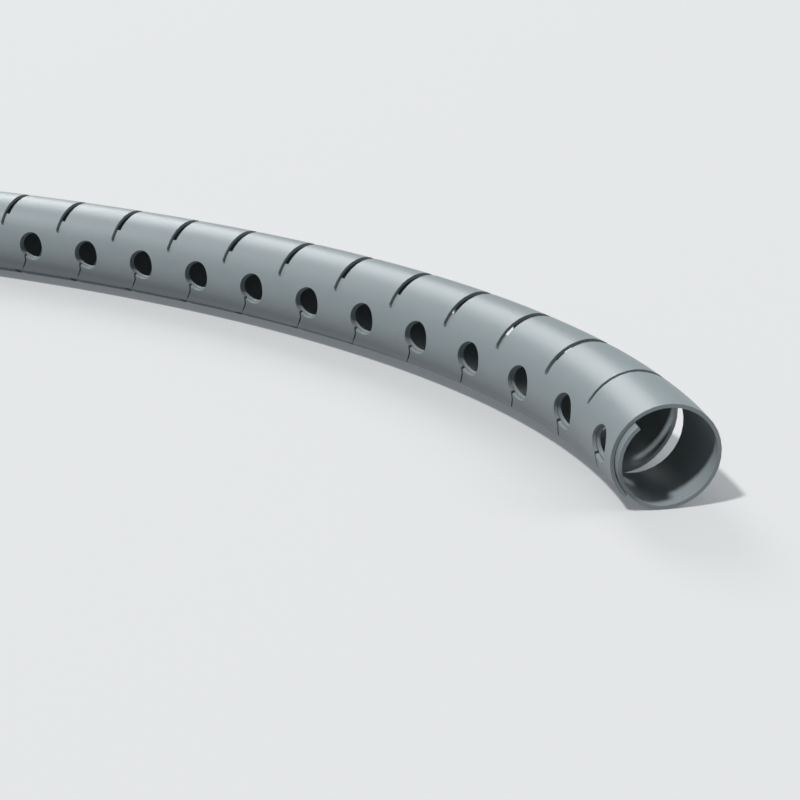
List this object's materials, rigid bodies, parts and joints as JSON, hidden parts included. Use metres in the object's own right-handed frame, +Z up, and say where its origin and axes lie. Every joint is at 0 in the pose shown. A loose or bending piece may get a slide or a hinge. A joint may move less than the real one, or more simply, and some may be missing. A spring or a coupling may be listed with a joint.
{
  "type": "spiral cable wrap",
  "caption": "Flexible slotted plastic tube that laps over itself and bundles cables, with round side outlets, lying in a gentle curve.",
  "frame": {"origin": "centre of the bounding box on the floor plane", "axes": "+X along the longest extent of the curved length, towards the start end; +Z up from the floor"},
  "size_m": [0.8958, 0.2424, 0.0248],
  "materials": {
    "grey_plastic": "satin, smooth moulded grey plastic"
  },
  "bodies": {
    "root": {"cable_wrap": "grey_plastic"}
  },
  "joints": []
}
